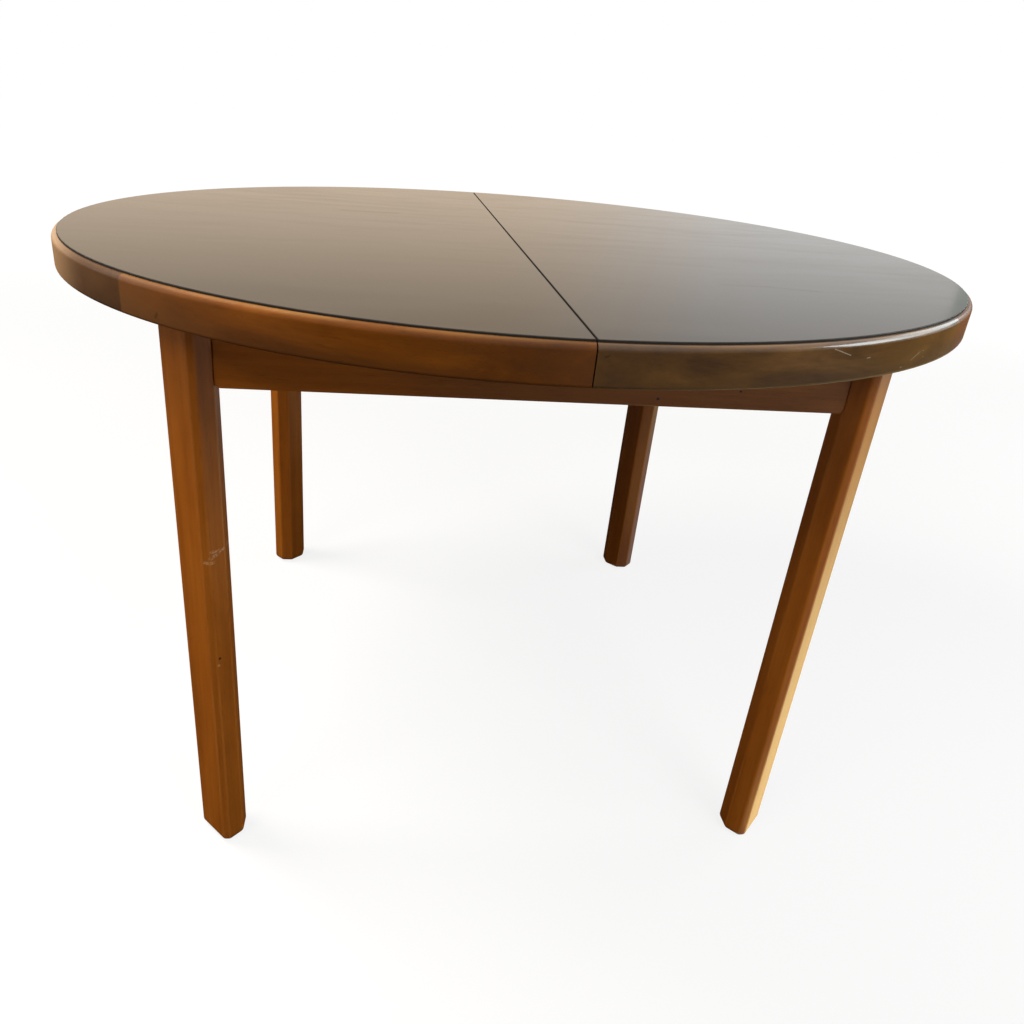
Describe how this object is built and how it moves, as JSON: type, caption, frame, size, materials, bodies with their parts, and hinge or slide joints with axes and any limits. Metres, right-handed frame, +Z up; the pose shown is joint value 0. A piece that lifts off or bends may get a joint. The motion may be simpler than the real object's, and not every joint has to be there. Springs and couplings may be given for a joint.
{
  "type": "butterfly leaf table",
  "caption": "Round extending dining table: a dark sheet-faced top in two sliding halves with a rounded wooden edge on straight faceted legs, with a folded leaf stored under it.",
  "frame": {"origin": "on the floor, under the middle of the closed round top", "axes": "+Z up; +X across the seam, the way the right half slides; +Y away from the front apron"},
  "size_m": [1.1466, 1.1468, 0.74],
  "materials": {
    "leg_wood": "satin stained hardwood",
    "band_wood": "satin stained hardwood, worn",
    "plain_wood": "planed, bare",
    "core_board": "veneered board, bare underside",
    "surface_sheet": "semi-gloss laminate",
    "steel": "zinc plated",
    "brass": "dull",
    "glide_plastic": "moulded",
    "felt": "pressed felt"
  },
  "bodies": {
    "base": {"back_apron": "leg_wood", "back_inner_guide": "plain_wood", "back_left_corner_block": "plain_wood", "back_left_leg": "leg_wood", "back_outer_guide": "plain_wood", "back_right_corner_block": "plain_wood", "back_right_leg": "leg_wood", "corner_block_screws": "steel", "foot_glides": "glide_plastic", "front_apron": "leg_wood", "front_inner_guide": "plain_wood", "front_left_corner_block": "plain_wood", "front_left_leg": "leg_wood", "front_outer_guide": "plain_wood", "front_right_corner_block": "plain_wood", "front_right_leg": "leg_wood", "glide_pads": "felt", "guide_screws": "steel", "leaf_hinge_pins": "steel", "leaf_lower_band": "band_wood", "leaf_lower_core": "core_board", "leaf_lower_hinge_plates": "brass", "leaf_lower_surface": "surface_sheet", "leaf_upper_band": "band_wood", "leaf_upper_core": "core_board", "leaf_upper_hinge_plates": "brass", "leaf_upper_surface": "surface_sheet", "left_apron": "leg_wood", "left_leaf_rest": "plain_wood", "leg_bolts": "steel", "leg_nuts": "steel", "leg_washers": "steel", "right_apron": "leg_wood", "right_leaf_rest": "plain_wood", "stop_cleats": "plain_wood"},
    "left_top": {"left_core": "core_board", "left_surface": "surface_sheet", "left_front_band": "band_wood", "left_end_band": "band_wood", "left_back_band": "band_wood", "left_front_runner": "plain_wood", "left_back_runner": "plain_wood", "left_runner_screws": "steel", "left_stop_pegs": "plain_wood", "seam_dowels": "plain_wood", "catch_plates": "steel"},
    "right_top": {"right_core": "core_board", "right_surface": "surface_sheet", "right_front_band": "band_wood", "right_end_band": "band_wood", "right_back_band": "band_wood", "right_front_runner": "plain_wood", "right_back_runner": "plain_wood", "right_runner_screws": "steel", "right_stop_pegs": "plain_wood", "catch_studs": "steel"},
    "front_catch": {"front_catch_hook": "steel"},
    "back_catch": {"back_catch_hook": "steel"}
  },
  "joints": [
    {"name": "left_slide", "type": "slide", "parent": "base", "child": "left_top", "axis": [-1, 0, 0], "range_m": [0, 0.235]},
    {"name": "right_slide", "type": "slide", "parent": "base", "child": "right_top", "axis": [1, 0, 0], "range_m": [0, 0.235]},
    {"name": "front_catch_turn", "type": "hinge", "parent": "left_top", "child": "front_catch", "pos_m": [-0.04, -0.455, 0.711], "axis": [0, 0, 1], "range_deg": [0, 90]},
    {"name": "back_catch_turn", "type": "hinge", "parent": "left_top", "child": "back_catch", "pos_m": [-0.04, 0.455, 0.711], "axis": [0, 0, -1], "range_deg": [0, 90]}
  ]
}
